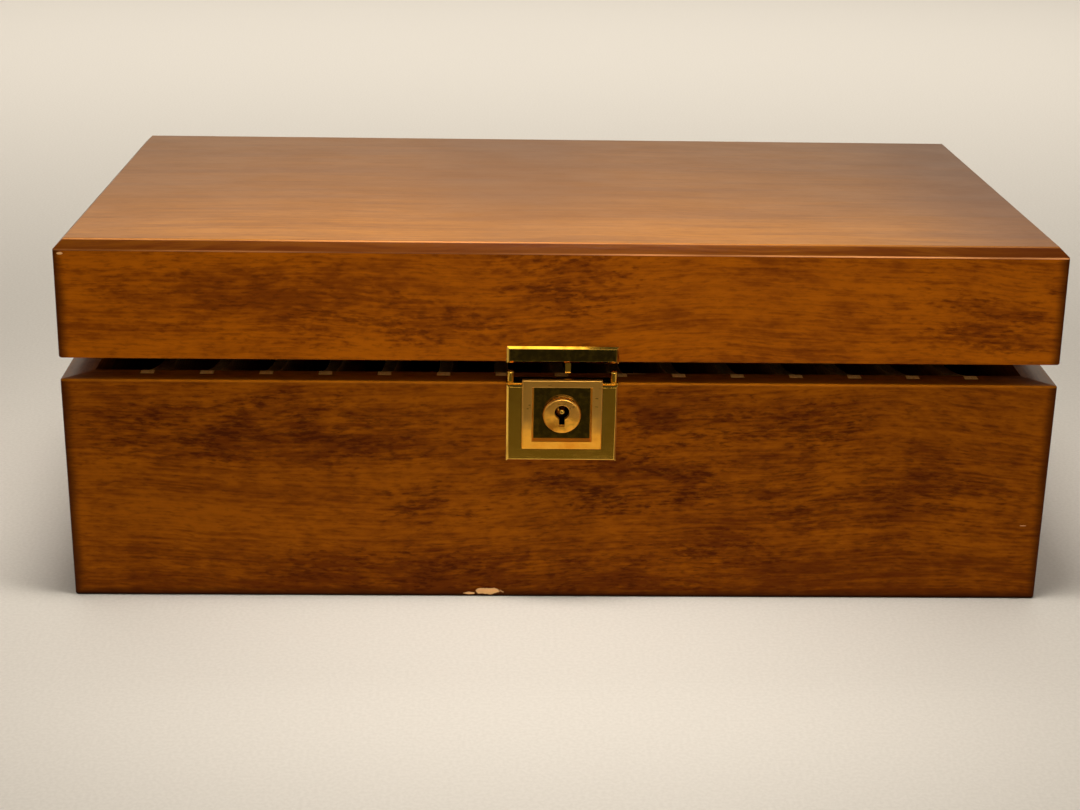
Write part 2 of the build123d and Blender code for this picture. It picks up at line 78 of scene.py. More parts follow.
class Shader:
    """A procedural material built from a few short calls."""

    def __init__(self, name):
        self.material = bpy.data.materials.new(name)
        self.material.use_nodes = True
        self.tree = self.material.node_tree
        self.tree.nodes.clear()
        output = self.tree.nodes.new("ShaderNodeOutputMaterial")
        self.surface = self.tree.nodes.new("ShaderNodeBsdfPrincipled")
        self.tree.links.new(self.surface.outputs[0], output.inputs[0])

    def set(self, **values):
        """Give the surface's sockets constants or links; underscores stand for spaces."""
        for name, value in values.items():
            self.put(self.surface.inputs[name.replace("_", " ")], value)

    def put(self, socket, value):
        if isinstance(value, bpy.types.NodeSocket):
            self.tree.links.new(value, socket)
        else:
            socket.default_value = value

    def add(self, kind, *values, **settings):
        node = self.tree.nodes.new("ShaderNode" + kind)
        for name, value in settings.items():
            setattr(node, name, value)
        for socket, value in zip(node.inputs, values):
            if value is not None:
                self.put(socket, value)
        return node

    def math(self, operation, *values):
        return self.add("Math", *values, operation=operation).outputs[0]

    def place(self, closed=False):
        """Object coordinates; closed turns a lid piece's back to where it is when shut."""
        here = self.add("TexCoord").outputs["Object"]
        if not closed:
            return here
        shift = AXIS_POINT - CLOSE_TURN @ AXIS_POINT
        return self.add("Mapping", here, shift, (AJAR, 0, 0), vector_type="POINT").outputs[0]

    def split(self, vector):
        return self.add("SeparateXYZ", vector).outputs

    def join(self, *parts):
        return self.add("CombineXYZ", *parts).outputs[0]

    def stretch(self, vector, scale):
        return self.add("Mapping", vector, None, None, scale, vector_type="POINT").outputs[0]

    def noise(self, vector, scale=1.0, detail=2.0, roughness=0.5, distortion=0.0):
        node = self.add("TexNoise", noise_dimensions="3D")
        self.put(node.inputs["Vector"], vector)
        for name, value in (("Scale", scale), ("Detail", detail), ("Roughness", roughness)):
            node.inputs[name].default_value = value
        node.inputs["Distortion"].default_value = distortion
        return node.outputs[0]

    def ramp(self, value, low, high, out_low=0.0, out_high=1.0):
        """A smooth step from out_low to out_high as value goes from low to high."""
        node = self.add("MapRange", value, low, high, out_low, out_high)
        node.interpolation_type = "SMOOTHSTEP"
        return node.outputs[0]

    def mix(self, factor, first, second):
        node = self.add("Mix", data_type="RGBA")
        for index, value in ((0, factor), (6, first), (7, second)):
            self.put(node.inputs[index], value)
        return node.outputs[2]

    def bump(self, height, strength, distance):
        node = self.add("Bump")
        for name, value in (("Strength", strength), ("Distance", distance), ("Height", height)):
            self.put(node.inputs[name], value)
        self.put(self.surface.inputs["Normal"], node.outputs[0])

    def edge_distance(self, vector, low, high):
        """How far a point on a block's outside is from the nearest arris of the block."""
        gaps = []
        for value, least, most in zip(self.split(vector), low, high):
            below = self.math("ABSOLUTE", self.math("SUBTRACT", value, least))
            above = self.math("ABSOLUTE", self.math("SUBTRACT", most, value))
            gaps.append(self.math("MINIMUM", below, above))
        near = self.math("MINIMUM", gaps[0], gaps[1])
        far = self.math("MAXIMUM", gaps[0], gaps[1])
        return self.math("MAXIMUM", near, self.math("MINIMUM", far, gaps[2]))


def rgb(red, green, blue):
    return (red, green, blue, 1.0)


# ---- wood ----------------------------------------------------------------------------------------

# Stains: the light, the deep and the darkest tone of each
BASE_STAIN = (rgb(0.278, 0.0725, 0.0008), rgb(0.113, 0.0222, 0.0003), rgb(0.034, 0.0050, 0.0002))
# The lid's stain is the base's made lighter: painted light, as the lid's front catches more of the
# lamps
LID_STAIN_AND_LIGHT = (rgb(0.385, 0.098, 0.0009), rgb(0.168, 0.0350, 0.0004), rgb(0.062, 0.0095, 0.0003))
TOP_STAIN = (rgb(0.372, 0.132, 0.0030), rgb(0.190, 0.063, 0.0012), rgb(0.110, 0.0270, 0.0006))
# Arrises: partly stain, partly painted shade of the rounded edges
EDGE_STAIN_AND_SHADE = rgb(0.040, 0.0075, 0.0004)
STAIN_CHAMFER = rgb(0.078, 0.0150, 0.0002)
# Painted contact shadow along the base's foot
FOOT_SHADOW_TONE = rgb(0.009, 0.003, 0.0003)
# Painted highlight on the base's outer rim
RIM_HIGHLIGHT_TONE = rgb(0.30, 0.095, 0.004)
# Painted highlight along the lid's chamfer edges
PAINTED_HIGHLIGHT_TONE = rgb(0.80, 0.34, 0.12)
RAW_WOOD = rgb(0.80, 0.44, 0.18)

# Plain woods: the light and the deep tone, and the tone of their pores or plies
DIVIDER_TONES = (rgb(0.90, 0.51, 0.16), rgb(0.70, 0.35, 0.09))
DIVIDER_PORE = rgb(0.25, 0.13, 0.06)
PANEL_TONES = (rgb(0.60, 0.42, 0.24), rgb(0.42, 0.27, 0.14))
PANEL_PLY = rgb(0.24, 0.14, 0.07)

# The axes that lie along the grain, across it and into the board
FRONT_GRAIN = "xzy"
SIDE_GRAIN = "yzx"
TOP_GRAIN = "xyz"

# How fine each layer of the mahogany is, along the grain, across it and into the board
CLUSTER_SCALE = (11, 36, 30)
SPECKLE_SCALE = (70, 230, 150)
FLECK_SCALE = (250, 1150, 700)
LINE_SCALE = (34, 1000, 500)
BAND_SCALE = (9, 130, 90)
GRIT_SCALE = (170, 480, 400)
MOTTLE_SCALE = (42, 60, 60)

# Where the stain deepens and where light and shade are painted on: painted shade toward a base
# wall's foot, a painted shadow along it, a painted highlight on the base's outer rim, arrises
# darkened by stain and painted shade, painted shade toward the top's back, the top darker about its
# middle and right end, and painted highlight lines along the chamfer's edges
FOOT_SHADE = 24 * MM
FOOT_SHADOW_LINE = (0.3 * MM, 1.4 * MM)
RIM_BAND = (-6 * MM, -1 * MM)
RIM_EDGE = (RIM_Z - 0.9 * MM, RIM_Z - 0.3 * MM)
ARRIS_WIDTH = 3.6 * MM
ARRIS_RAGGED = 3.0 * MM
TOP_MIDDLE_X = -14 * MM
TOP_MIDDLE_WIDTH = 50 * MM
TOP_BACK = (-84 * MM, -5 * MM)
TOP_END = (95 * MM, 145 * MM)
CHAMFER_EDGE = (LID_TOP_Z - 0.30 * MM, LID_TOP_Z - 0.12 * MM)
ARRIS_FOOT = (LID_TOP_Z - 0.50 * MM, LID_TOP_Z - 0.28 * MM)
ARRIS_HEAD = (LID_TOP_Z - 0.14 * MM, LID_TOP_Z - 0.02 * MM)
LIP_EDGE = (LID_TOP_Z - CHAMFER, LID_TOP_Z - CHAMFER + 0.40 * MM)
HIGHLIGHT_TURN = (-30 * MM, 60 * MM)

# Dark figure in the front wall and the front rail: middle x and z, half length and height, weight
BASE_FIGURE = (
    (-85, 54, 44, 9, 1.0),
    (22, 38, 26, 8, 0.9),
    (34, 60, 18, 8, 0.8),
    (74, 57, 22, 7, 0.7),
    (95, 34, 46, 11, 0.5),
    (-41, 31, 11, 6, 0.6),
    (-20, 7, 66, 6, 0.8),
    (45, 14, 22, 5, 0.7),
)
LID_FIGURE = (
    (-2, 96, 14, 9, 1.0),
    (-45, 84, 40, 6, 0.8),
    (-95, 92, 34, 11, 0.6),
    (131, 85, 20, 10, 0.8),
)

# Small knocks in the finish: middle x, y, z and half sizes
BASE_WEAR = (
    (-21.8, -84, 1.9, 4.6, 1.0, 1.15),
    (-27.6, -84, 1.1, 2.0, 1.0, 0.40),
    (144, -84, 25, 1.1, 1.0, 0.14),
    (21, -75.2, 71, 4.5, 0.35, 0.5),
)
LID_WEAR = ((-147.6, -84, 103.3, 0.9, 1.0, 0.35),)


def grain_space(shader, grain, closed, shift):
    """Coordinates with the grain along the first axis, and the same, bent by a slow drift."""
    parts = dict(zip("xyz", shader.split(shader.place(closed))))
    along, across, deep = (parts[letter] for letter in grain)
    straight = shader.join(shader.math("ADD", along, shift), across, deep)
    wide = shader.noise(shader.stretch(straight, (6, 4, 4)), detail=1.0)
    close = shader.noise(shader.stretch(straight, (34, 50, 50)), detail=2.0)
    drift = shader.math("MULTIPLY", shader.math("SUBTRACT", wide, 0.5), 0.034)
    drift = shader.math("MULTIPLY_ADD", shader.math("SUBTRACT", close, 0.5), 0.0024, drift)
    bent = shader.math("ADD", across, drift)
    return straight, shader.join(shader.math("ADD", along, shift), bent, deep)


def figure_mask(shader, closed, patches):
    """One soft, ragged patch of dark figure for each entry of a list, over a face seen along Y."""
    here = shader.place(closed)
    ragged = shader.add("TexNoise", noise_dimensions="3D")
    shader.put(ragged.inputs["Vector"], shader.stretch(here, (60, 60, 150)))
    ragged.inputs["Detail"].default_value = 4.0
    push = ragged.outputs[1]
    push = shader.add("VectorMath", push, (0.5, 0.5, 0.5), operation="SUBTRACT").outputs[0]
    push = shader.add("VectorMath", push, (0.07, 0.0, 0.030), operation="MULTIPLY").outputs[0]
    here = shader.add("VectorMath", here, push, operation="ADD").outputs[0]
    total = None
    for x, z, half_x, half_z, weight in patches:
        scale = Vector((1 / (half_x * MM), 0, 1 / (half_z * MM)))
        shift = Vector((-x * MM * scale.x, 0, -z * MM * scale.z))
        local = shader.add("Mapping", here, shift, None, scale, vector_type="POINT").outputs[0]
        gap = shader.add("VectorMath", local, operation="LENGTH").outputs[1]
        patch = shader.ramp(gap, 0.20, 1.65, weight, 0.0)
        total = patch if total is None else shader.math("MAXIMUM", total, patch)
    return total


def wear_mask(shader, here, spots):
    """Small ragged spots where the finish has gone."""
    ragged = shader.ramp(shader.noise(here, 420.0, detail=2.0), 0.3, 0.7, 0.85, 1.3)
    total = None
    for x, y, z, half_x, half_y, half_z in spots:
        scale = Vector((1 / (half_x * MM), 1 / (half_y * MM), 1 / (half_z * MM)))
        shift = Vector((-x * MM * scale.x, -y * MM * scale.y, -z * MM * scale.z))
        local = shader.add("Mapping", here, shift, None, scale, vector_type="POINT").outputs[0]
        gap = shader.add("VectorMath", local, operation="LENGTH").outputs[1]
        spot = shader.ramp(shader.math("MULTIPLY", gap, ragged), 0.85, 1.10, 1.0, 0.0)
        total = spot if total is None else shader.math("MAXIMUM", total, spot)
    return total


def flecked_clusters(shader, flow, figure, damping=1.0):
    """Where dark figure gathers, and the short flecks that crowd there."""
    clusters = shader.noise(shader.stretch(flow, CLUSTER_SCALE), detail=3.5, roughness=0.55)
    clusters = shader.ramp(clusters, 0.44, 0.68)
    if figure:
        clusters = shader.math("MULTIPLY_ADD", clusters, 0.30, figure)
    else:
        clusters = shader.math("MULTIPLY", clusters, damping)
    speckle = shader.noise(shader.stretch(flow, SPECKLE_SCALE), detail=2.0)
    speckle = shader.ramp(speckle, 0.36, 0.62, 0.25, 1.0)
    clusters = shader.math("MULTIPLY", clusters, speckle)
    flecks = shader.noise(shader.stretch(flow, FLECK_SCALE), detail=3.0, roughness=0.62)
    flecks = shader.ramp(shader.math("MULTIPLY_ADD", clusters, 0.10, flecks), 0.50, 0.68)
    return clusters, flecks


def wood_layers(shader, straight, flow):
    """The fine lines, the wide bands, the grit and the mottle of the wood."""
    lines = shader.noise(shader.stretch(flow, LINE_SCALE), detail=4.0, roughness=0.62)
    bands = shader.noise(shader.stretch(flow, BAND_SCALE), detail=3.0)
    grit = shader.noise(shader.stretch(flow, GRIT_SCALE), detail=3.0, roughness=0.6)
    mottle = shader.noise(shader.stretch(straight, MOTTLE_SCALE), detail=3.0)
    return lines, bands, grit, mottle


def stain_depth(shader, clusters, layers, strength):
    """How deep the stain looks: each layer of the wood pushes it up or down."""
    lines, bands, grit, mottle = layers
    depth = 0.36
    for layer, weight in ((mottle, 0.8), (bands, 0.9), (lines, 1.3), (grit, 1.1)):
        swing = shader.math("SUBTRACT", layer, 0.5)
        depth = shader.math("MULTIPLY_ADD", swing, weight * strength, depth)
    return shader.math("MULTIPLY_ADD", clusters, 0.50, depth)


def stained(shader, stain, depth, clusters, flecks, strength):
    """The stain's own colour, and how strongly the flecks darken it."""
    body = shader.mix(shader.ramp(depth, 0.0, 1.0), stain[0], stain[1])
    crowding = shader.math("MULTIPLY_ADD", clusters, 0.36, 0.30 * strength)
    dark = shader.math("MULTIPLY", flecks, crowding)
    return shader.mix(dark, body, stain[2]), dark


def darken_arrises(shader, body, here, box, mottle):
    """Darker along the arrises of a block, partly stain gathered there and partly painted shade,
    with a ragged inner border.
    """
    drift = shader.math("SUBTRACT", mottle, 0.5)
    gap = shader.math("MULTIPLY_ADD", drift, ARRIS_RAGGED, shader.edge_distance(here, *box))
    return shader.mix(shader.ramp(gap, 0.0, ARRIS_WIDTH, 0.85, 0.0), body, EDGE_STAIN_AND_SHADE)


def rim_highlight_and_foot_shadow(shader, body, here, lacquered):
    """A base wall's painted highlight along its outer rim, and a painted shadow along its foot."""
    across, depthwise, height = shader.split(here)
    beyond_x = shader.math("SUBTRACT", shader.math("ABSOLUTE", across), HALF_WIDTH)
    beyond_y = shader.math("SUBTRACT", shader.math("ABSOLUTE", depthwise), HALF_DEPTH)
    # Painted highlight: the outer top edge of the rim is made lighter
    outer = shader.ramp(shader.math("MAXIMUM", beyond_x, beyond_y), *RIM_BAND, 0.0, 0.5)
    upper = shader.ramp(height, *RIM_EDGE)
    body = shader.mix(shader.math("MULTIPLY", outer, upper), body, RIM_HIGHLIGHT_TONE)
    if lacquered:
        shader.set(Coat_Weight=upper, Coat_Roughness=0.25, Coat_IOR=1.6)
    # Painted shadow: a near-black line along the foot, where the box meets the floor
    return shader.mix(shader.ramp(height, *FOOT_SHADOW_LINE, 0.85, 0.0), body, FOOT_SHADOW_TONE)


def finish_wood(shader, body, dark, flecks, lines, mottle, bare=None):
    """The lacquer's roughness and the grain's relief, with bare wood where it has gone."""
    rough = shader.math("MULTIPLY_ADD", dark, 0.15, shader.ramp(mottle, 0.2, 0.8, 0.33, 0.42))
    if bare:
        body = shader.mix(bare, body, RAW_WOOD)
        rough = shader.math("MULTIPLY_ADD", bare, 0.35, rough)
    shader.set(Base_Color=body, Roughness=rough)
    relief = shader.math("SUBTRACT", shader.math("MULTIPLY", lines, 0.5), flecks)
    shader.bump(relief, 0.12, 0.04 * MM)
    return shader.material


def mahogany(name, stain, grain, box, lid=False, shift=0.0, figure=(), wear=()):
    """A stained and lacquered wall or rail: dark figure, short flecks, fine lines, arrises darkened
    by stain and painted shade; a base wall also gets painted shade toward its foot.
    """
    s = Shader(name)
    straight, flow = grain_space(s, grain, lid, shift)
    here = s.place(lid)
    patches = figure_mask(s, lid, figure) if figure else None
    clusters, flecks = flecked_clusters(s, flow, patches)
    layers = wood_layers(s, straight, flow)
    lines, _, _, mottle = layers
    depth = stain_depth(s, clusters, layers, 1.0)
    if not lid:
        # Painted shade: a base wall's stain deepens toward its foot
        foot = s.ramp(s.split(here)[2], 0.0, FOOT_SHADE, 0.38, 0.0)
        depth = s.math("ADD", depth, foot)
    body, dark = stained(s, stain, depth, clusters, flecks, 1.0)
    body = darken_arrises(s, body, here, box, mottle)
    s.set(Specular_IOR_Level=0.03, IOR=1.5)
    if not lid:
        body = rim_highlight_and_foot_shadow(s, body, here, grain == SIDE_GRAIN)
    bare = wear_mask(s, here, wear) if wear else None
    return finish_wood(s, body, dark, flecks, lines, mottle, bare)


def paint_edge_highlights(shader, body, here):
    """Painted highlight lines over and under the chamfer: one fades to the right, one to the left.
    """
    across, _, height = shader.split(here)
    patchy = shader.noise(shader.stretch(here, (9, 9, 9)))
    to_right = shader.ramp(across, *HIGHLIGHT_TURN)
    lip = shader.ramp(height, *LIP_EDGE, 1.0, 0.0)
    lip = shader.math("MULTIPLY", lip, shader.math("MULTIPLY_ADD", to_right, 0.75, 0.25))
    lip = shader.math("MULTIPLY", lip, shader.ramp(patchy, 0.40, 0.56, 0.25, 0.95))
    body = shader.mix(lip, body, PAINTED_HIGHLIGHT_TONE)
    arris = shader.ramp(height, *ARRIS_HEAD, 1.0, 0.0)
    arris = shader.math("MULTIPLY", arris, shader.ramp(height, *ARRIS_FOOT))
    arris = shader.math("MULTIPLY", arris, shader.ramp(patchy, 0.35, 0.60, 0.65, 0.25))
    arris = shader.math("MULTIPLY", arris, shader.math("MULTIPLY_ADD", to_right, -0.5, 1.0))
    return shader.mix(arris, body, PAINTED_HIGHLIGHT_TONE)


def mahogany_top(shift):
    """The lid's top panel: quieter grain, painted shade deepening toward its back, darker about its
    middle and right end, painted highlights along its lip and front arris.
    """
    s = Shader("mahogany_top")
    straight, flow = grain_space(s, TOP_GRAIN, True, shift)
    here = s.place(True)
    clusters, flecks = flecked_clusters(s, flow, None, 0.2)
    layers = wood_layers(s, straight, flow)
    lines, bands, _, mottle = layers
    depth = stain_depth(s, clusters, layers, 0.5)
    body, dark = stained(s, TOP_STAIN, depth, clusters, flecks, 0.5)

    across, depthwise, height = s.split(here)
    # Painted shade toward the top's back; the top is also darker about its middle and toward its
    # right end
    off_middle = s.math("ABSOLUTE", s.math("SUBTRACT", across, TOP_MIDDLE_X))
    middle = s.ramp(off_middle, 0.0, TOP_MIDDLE_WIDTH, 0.35, 0.0)
    back = s.math("ADD", s.ramp(depthwise, *TOP_BACK, 0.0, 0.72), middle)
    body = s.mix(back, body, TOP_STAIN[1])
    body = s.mix(s.ramp(across, *TOP_END, 0.0, 0.55), body, TOP_STAIN[2])
    streaks = s.math("MULTIPLY_ADD", lines, 0.5, s.math("MULTIPLY", bands, 0.5))
    body = s.mix(s.ramp(streaks, 0.42, 0.62, 0.0, 0.30), body, TOP_STAIN[2])

    chamfer = s.ramp(height, *CHAMFER_EDGE, 1.0, 0.0)
    lined = s.ramp(lines, 0.34, 0.66, 0.99, 0.72)
    body = s.mix(s.math("MULTIPLY", chamfer, lined), body, STAIN_CHAMFER)
    body = paint_edge_highlights(s, body, here)
    coat = s.math("MULTIPLY_ADD", chamfer, -0.50, 0.55)
    s.set(Coat_Weight=coat, Coat_Roughness=0.22, Coat_IOR=1.3, IOR=1.3)
    return finish_wood(s, body, dark, flecks, lines, mottle)


def divider_wood():
    """Pale raw hardwood board, its grain along the board."""
    s = Shader("divider_wood")
    straight, flow = grain_space(s, SIDE_GRAIN, False, 0.0)
    lines = s.noise(s.stretch(flow, (18, 1300, 900)), detail=4.0, roughness=0.6)
    pores = s.ramp(s.noise(s.stretch(flow, (420, 5200, 5200)), detail=2.0), 0.58, 0.70)
    tone = s.noise(s.stretch(straight, (14, 40, 60)), detail=3.0)
    warm = s.math("MULTIPLY_ADD", s.math("SUBTRACT", tone, 0.5), 1.2, lines)
    body = s.mix(s.ramp(warm, 0.25, 0.8), *DIVIDER_TONES)
    body = s.mix(s.math("MULTIPLY", pores, 0.4), body, DIVIDER_PORE)
    s.set(Base_Color=body, Roughness=s.ramp(lines, 0.2, 0.8, 0.70, 0.85), Specular_IOR_Level=0.0)
    s.bump(s.math("SUBTRACT", lines, pores), 0.3, 0.05 * MM)
    return s.material


def panel_wood():
    """The plain plywood of the bottom panel, with faint plies on its edges."""
    s = Shader("panel_wood")
    straight, flow = grain_space(s, TOP_GRAIN, False, 0.4)
    lines = s.noise(s.stretch(flow, (16, 800, 60)), detail=4.0, roughness=0.6)
    plies = s.noise(s.stretch(straight, (3, 3, 1400)), detail=1.0)
    body = s.mix(s.ramp(lines, 0.25, 0.75), *PANEL_TONES)
    body = s.mix(s.ramp(plies, 0.5, 0.62, 0.0, 0.35), body, PANEL_PLY)
    s.set(Base_Color=body, Roughness=s.ramp(lines, 0.2, 0.8, 0.6, 0.75), IOR=1.45)
    s.bump(lines, 0.3, 0.05 * MM)
    return s.material


# ---- brass and steel -----------------------------------------------------------------------------

# Polished brass: clean and tarnished; where it is painted dark: between and on the blotches
GOLD = (rgb(0.96, 0.56, 0.085), rgb(0.72, 0.38, 0.045))
HINGE_GOLD = (rgb(0.80, 0.50, 0.13), rgb(0.52, 0.30, 0.08))
PAINTED_DARK_BRASS = (rgb(0.10, 0.075, 0.018), rgb(0.27, 0.185, 0.03))

# Satin brass: bright, worn, and dull above its lower part, which carries a painted highlight
BEZEL_GOLD = (rgb(1.00, 0.48, 0.05), rgb(0.92, 0.36, 0.025), rgb(0.70, 0.36, 0.07))
BOSS_GOLD = (rgb(1.00, 0.48, 0.05), rgb(0.40, 0.14, 0.01), rgb(0.82, 0.40, 0.07))

STEEL_TONES = (rgb(0.20, 0.22, 0.28), rgb(0.32, 0.33, 0.36))

# The least and the most roughness of each
MIRROR_ROUGHNESS = (0.045, 0.12)
STRIKE_ROUGHNESS = (0.045, 0.10)
HINGE_ROUGHNESS = (0.16, 0.30)
BEZEL_ROUGHNESS = (0.26, 0.46)
BOSS_ROUGHNESS = (0.24, 0.40)
STEEL_ROUGHNESS = (0.24, 0.36)

# Where the lock's brass is painted dark: painted shade in the opening in the bezel, a painted dark
# reflection on the strike's flat front
BEZEL_OPENING = (17.0 * MM, 16.2 * MM)
STRIKE_HEIGHT = 5.2 * MM
STRIKE_FACE = (32.2 * MM, 3.8 * MM)


def reach(shader, here, rectangle):
    """How far out a point is from an upright rectangle's middle: 1 on its border."""
    middle_x, middle_z, half_x, half_z = rectangle
    scale = Vector((1 / half_x, 0, 1 / half_z))
    shift = Vector((-middle_x * scale.x, 0, -middle_z * scale.z))
    local = shader.add("Mapping", here, shift, None, scale, vector_type="POINT").outputs[0]
    across, _, up = shader.split(shader.add("VectorMath", local, operation="ABSOLUTE").outputs[0])
    return shader.math("MAXIMUM", across, up)


def polished_brass(name, colour, tarnish, low, high, dim=None):
    """Mirror brass with faint swirls, hairline scratches and tarnish, and a blotchy painted shade
    over a dim area.
    """
    s = Shader(name)
    here = s.place()
    cloud = s.noise(here, 160.0, detail=4.0, roughness=0.6)
    swirl = s.noise(s.stretch(here, (900, 900, 2600)), detail=3.0, roughness=0.7, distortion=0.6)
    hair = s.ramp(s.noise(s.stretch(here, (180, 180, 9000)), detail=2.0), 0.60, 0.72)
    body = s.mix(s.ramp(cloud, 0.40, 0.75, 0.0, 0.7), colour, tarnish)
    if dim:
        # Painted shade: the dim area is darkened with blotches, standing in for shade in a recess
        # and for a dark reflection
        inside = s.ramp(reach(s, here, dim), 0.96, 1.04, 0.95, 0.0)
        blotch = s.ramp(s.noise(here, 620.0, detail=3.0, roughness=0.6), 0.42, 0.70)
        body = s.mix(inside, body, s.mix(blotch, *PAINTED_DARK_BRASS))
    s.set(Metallic=1.0, Base_Color=body)
    s.set(Roughness=s.math("MULTIPLY_ADD", hair, 0.08, s.ramp(cloud, 0.35, 0.75, low, high)))
    s.bump(s.math("SUBTRACT", s.math("MULTIPLY", swirl, 0.5), hair), 0.05, 0.01 * MM)
    return s.material


def satin_brass(name, bright, worn, dull, low, high, lit_band, opening=None):
    """Satin brass: soft clouds, brush lines, a painted highlight low down, and matt, painted-bright
    walls inside an opening.
    """
    s = Shader(name)
    here = s.place()
    brush = s.noise(s.stretch(here, (260, 1500, 1500)), detail=1.0)
    cloud = s.noise(s.stretch(here, (150, 150, 210)), detail=4.0, roughness=0.6)
    body = s.mix(s.ramp(cloud, 0.38, 0.68), bright, worn)
    height = s.math("MULTIPLY_ADD", s.math("SUBTRACT", cloud, 0.5), 14 * MM, s.split(here)[2])
    # Painted highlight: below the band the brass keeps its bright tones, above it turns dull
    body = s.mix(s.ramp(height, *lit_band), body, dull)
    rough = s.math("MULTIPLY_ADD", brush, 0.05, s.ramp(height, *lit_band, high, low))
    if opening:
        # Painted highlight on the walls of the opening, which are also rougher
        walls = s.ramp(reach(s, here, opening), 1.055, 1.075, 1.0, 0.0)
        rough = s.math("MULTIPLY_ADD", walls, 0.30, rough)
        body = s.mix(walls, body, bright)
    s.set(Metallic=1.0, Base_Color=body, Roughness=rough)
    s.bump(cloud, 0.10, 0.02 * MM)
    return s.material


def spring_steel():
    """Blued spring steel with a rolled grain."""
    s = Shader("spring_steel")
    here = s.place()
    roll = s.noise(s.stretch(here, (300, 6000, 6000)), detail=3.0)
    body = s.mix(s.ramp(roll, 0.3, 0.7), *STEEL_TONES)
    s.set(Metallic=1.0, Base_Color=body, Roughness=s.ramp(roll, 0.3, 0.7, *STEEL_ROUGHNESS))
    s.bump(roll, 0.1, 0.01 * MM)
    return s.material


# ---- linings -------------------------------------------------------------------------------------

# Each velvet: the deep and the bright tone of its pile
BROWN_PILE = (rgb(0.040, 0.022, 0.014), rgb(0.10, 0.058, 0.036))
GREEN_PILE = (rgb(0.020, 0.030, 0.022), rgb(0.050, 0.068, 0.050))
FINE_NAP = 3200.0
FELT_NAP = 1800.0

# A slab's shape: share of its thickness left at the rim, how its swell falls off, its waves
RIM_SHARE = 0.35
SWELL_POWER = 0.35
WAVE_SCALE = 26.0


def velvet(name, deep, bright, nap_scale):
    """Short pile with a mottled nap and a soft sheen."""
    s = Shader(name)
    here = s.place()
    pile = s.noise(here, nap_scale, detail=2.0, roughness=0.7)
    brushed = s.noise(s.stretch(here, (60, 90, 90)), detail=4.0, roughness=0.6)
    mixed = s.math("MULTIPLY_ADD", s.math("SUBTRACT", pile, 0.5), 0.8, brushed)
    s.set(Base_Color=s.mix(s.ramp(mixed, 0.25, 0.8), deep, bright))
    s.set(Roughness=0.95, Sheen_Weight=0.55, Sheen_Roughness=0.35)
    s.bump(pile, 0.5, 0.25 * MM)
    return s.material


def slab_faces(across, along, face):
    """The faces of two grids, one over the other, and of the rim that joins them."""
    width = across + 1
    layer_size = width * (along + 1)
    faces = []
    for row in range(along):
        for column in range(across):
            corner = row * width + column
            ring = [corner, corner + 1, corner + 1 + width, corner + width]
            under = [index + layer_size for index in reversed(ring)]
            faces.append(ring if face > 0 else ring[::-1])
            faces.append(under if face > 0 else under[::-1])
    rim = list(range(width))
    rim += [row * width + across for row in range(1, along + 1)]
    rim += [along * width + column for column in range(across - 1, -1, -1)]
    rim += [row * width for row in range(along - 1, 0, -1)]
    for first, second in zip(rim, rim[1:] + rim[:1]):
        side = [first, first + layer_size, second + layer_size, second]
        faces.append(side if face > 0 else side[::-1])
    return faces


def soft_slab(name, low, high, face, round_edge, cell, crown=0.0, ripple=0.0):
    """A closed slab of cloth: one face (+1 up, -1 down) swells by crown, its edges turned over."""
    size = high - low
    across = max(2, round(size.x / cell))
    along = max(2, round(size.y / cell))
    flat_z = low.z if face > 0 else high.z
    full_z = high.z if face > 0 else low.z

    def lifted(x, y):
        gap = min(x - low.x, high.x - x, y - low.y, high.y - y)
        turn = min(1.0, gap / round_edge)
        shoulder = math.sqrt(max(0.0, 1.0 - (1.0 - turn) ** 2))
        swell_x = math.sin(math.pi * (x - low.x) / size.x)
        swell_y = math.sin(math.pi * (y - low.y) / size.y)
        swell = crown * (swell_x * swell_y) ** SWELL_POWER * turn
        wave = noise.noise(Vector((x, y, 0)) * WAVE_SCALE) * ripple * turn
        height = abs(full_z - flat_z) * (RIM_SHARE + (1.0 - RIM_SHARE) * shoulder)
        return flat_z + face * (height + swell + wave)

    points = []
    for layer in ("soft", "flat"):
        for row in range(along + 1):
            for column in range(across + 1):
                x = low.x + size.x * column / across
                y = low.y + size.y * row / along
                points.append((x, y, lifted(x, y) if layer == "soft" else flat_z))
    mesh = bpy.data.meshes.new(name)
    mesh.from_pydata(points, [], slab_faces(across, along, face))
    mesh.validate()
    mesh.polygons.foreach_set("use_smooth", [True] * len(mesh.polygons))
    piece = bpy.data.objects.new(name, mesh)
    bpy.context.scene.collection.objects.link(piece)
    return piece


